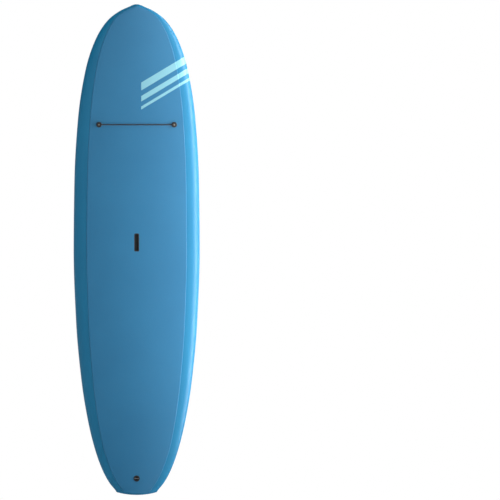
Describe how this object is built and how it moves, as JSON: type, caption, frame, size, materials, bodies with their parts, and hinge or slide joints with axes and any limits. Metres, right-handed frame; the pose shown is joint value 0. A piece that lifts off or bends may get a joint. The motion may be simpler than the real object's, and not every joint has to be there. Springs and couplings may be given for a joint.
{
  "type": "surfboard",
  "caption": "Long soft-top stand-up paddle surfboard with a round nose, squash tail, deck bungee, carry handle, leash plug and a sliding centre fin.",
  "frame": {"origin": "on the floor, under the middle of the board's box as it stands on its tail", "axes": "+Z from the tail to the nose, -Y out of the deck, +Y out of the bottom on the fin's side, +X to the right rail seen from the deck"},
  "size_m": [0.8218, 0.3228, 3.1985],
  "materials": {
    "core": "matte foam",
    "hard_foam": "matte foam",
    "stringer_wood": "plain sawn",
    "white_laminate": "satin",
    "blue_laminate": "gloss",
    "soft_deck": "matte, finely grained",
    "black_plastic": "moulded",
    "fin_plastic": "satin",
    "stainless": "brushed",
    "brass": "turned",
    "cord_cover": "woven"
  },
  "bodies": {
    "board": {"fin_box_block": "hard_foam", "handle_block": "hard_foam", "leash_block": "hard_foam", "anchor_block_left": "hard_foam", "anchor_block_right": "hard_foam", "core_left": "core", "core_right": "core", "stringer": "stringer_wood", "bottom_shell": "white_laminate", "deck_shell": "blue_laminate", "deck_pad": "soft_deck", "fin_box": "black_plastic", "handle_cup": "black_plastic", "leash_cup": "black_plastic", "leash_bar": "stainless", "anchor_left": "black_plastic", "anchor_right": "black_plastic", "anchor_bolt_left": "stainless", "anchor_bolt_right": "stainless", "anchor_insert_left": "brass", "anchor_insert_right": "brass", "cord_crimp_left": "stainless", "cord_crimp_right": "stainless", "bungee_cord": "cord_cover"},
    "fin": {"fin": "fin_plastic", "fin_pin": "brass"},
    "fin_screw": {"fin_screw": "stainless"},
    "fin_plate": {"fin_plate": "stainless"}
  },
  "joints": [
    {"name": "fin_slide", "type": "slide", "parent": "board", "child": "fin", "axis": [0, 0.1235, 0.9923], "range_m": [-0.045, 0.021]},
    {"name": "fin_screw_turn", "type": "hinge", "parent": "fin", "child": "fin_screw", "pos_m": [0, -0.01397, 0.35276], "axis": [0, 0.9923, -0.1235], "range_deg": [0, 514.3]},
    {"name": "fin_plate_lift", "type": "slide", "parent": "fin", "child": "fin_plate", "axis": [0, -0.9923, 0.1235], "range_m": [0, 0.001]}
  ],
  "couplings": [
    {"joint": "fin_screw_turn", "follows": "fin_plate_lift", "rad_per_m": 8975.9}
  ]
}
